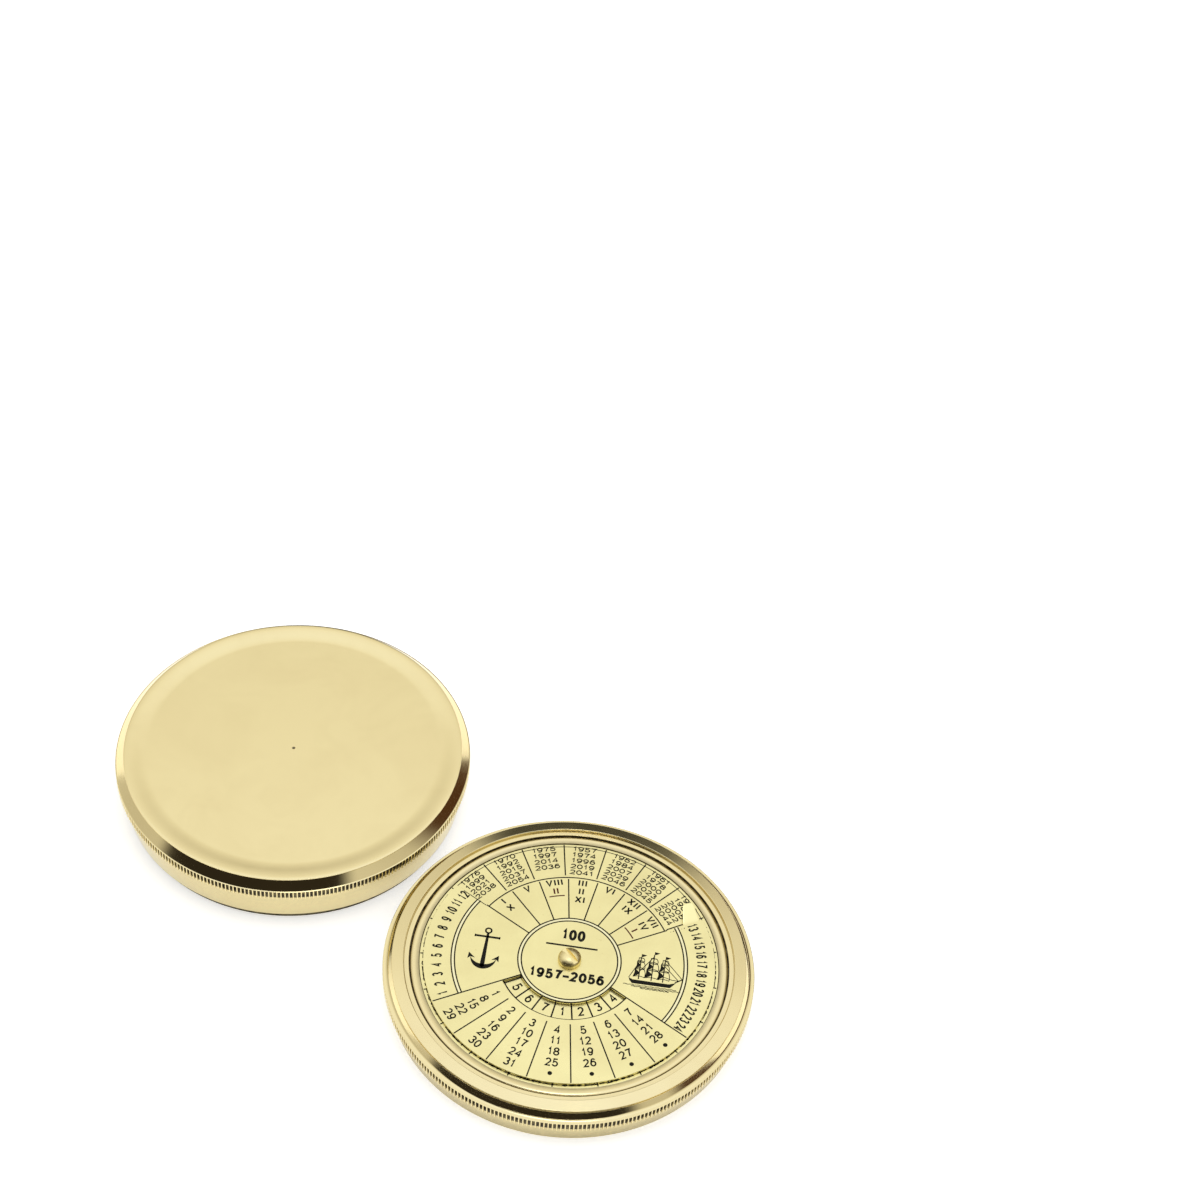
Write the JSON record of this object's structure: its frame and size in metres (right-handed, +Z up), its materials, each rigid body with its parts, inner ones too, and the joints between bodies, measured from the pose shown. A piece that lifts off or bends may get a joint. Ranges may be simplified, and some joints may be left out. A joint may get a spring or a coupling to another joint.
{
  "type": "calendar compass",
  "caption": "Round brass pocket case unscrewed into halves: a lid with a turning perpetual calendar disc, and a bowl with a card compass under glass, bottom up.",
  "frame": {"origin": "on the table, at the centre of the floor area that the two halves cover, midway between their axes", "axes": "+Z up off the table and along both halves' axes; +X to the right and +Y away from the viewer of the picture, with the bowl at -X +Y and the lid at +X -Y"},
  "size_m": [0.1462, 0.1292, 0.0139],
  "materials": {
    "polished_brass": "mirror polished pale brass with fine turning marks",
    "dial_brass": "satin lacquered pale brass with dark printed lines and numbers",
    "screw_brass": "polished yellow brass",
    "spring_steel": "bright steel",
    "magnet_steel": "dark steel",
    "white_card": "matt white paint with printed rose",
    "bearing_stone": "polished red stone",
    "black_gasket": "matt black",
    "clear_glass": "clear flat glass"
  },
  "bodies": {
    "bowl": {"bowl_shell": "polished_brass", "retaining_ring": "polished_brass", "compass_glass": "clear_glass", "glass_gasket": "black_gasket", "seat_ring": "polished_brass", "pivot_pin": "spring_steel", "pivot_stud": "screw_brass"},
    "lid": {"lid_shell": "polished_brass", "year_plate": "dial_brass", "pivot_screw": "screw_brass", "spring_washer": "spring_steel", "screw_nut": "screw_brass"},
    "calendar_disc": {"month_disc": "dial_brass"},
    "card": {"compass_card": "white_card", "jewel_cap": "screw_brass", "jewel_stone": "bearing_stone", "magnet_east": "magnet_steel", "magnet_west": "magnet_steel", "card_weight": "screw_brass"}
  },
  "joints": [
    {"name": "lid_lift", "type": "slide", "parent": "bowl", "child": "lid", "axis": [0, 0, 1], "range_m": [0, 0.04]},
    {"name": "month_disc_turn", "type": "hinge", "parent": "lid", "child": "calendar_disc", "pos_m": [0.03313, -0.02461, 0.0087], "axis": [0, 0, 1], "continuous": true},
    {"name": "compass_card_turn", "type": "hinge", "parent": "bowl", "child": "card", "pos_m": [-0.03313, 0.02461, 0.0052], "axis": [0, 0, 1], "continuous": true}
  ]
}
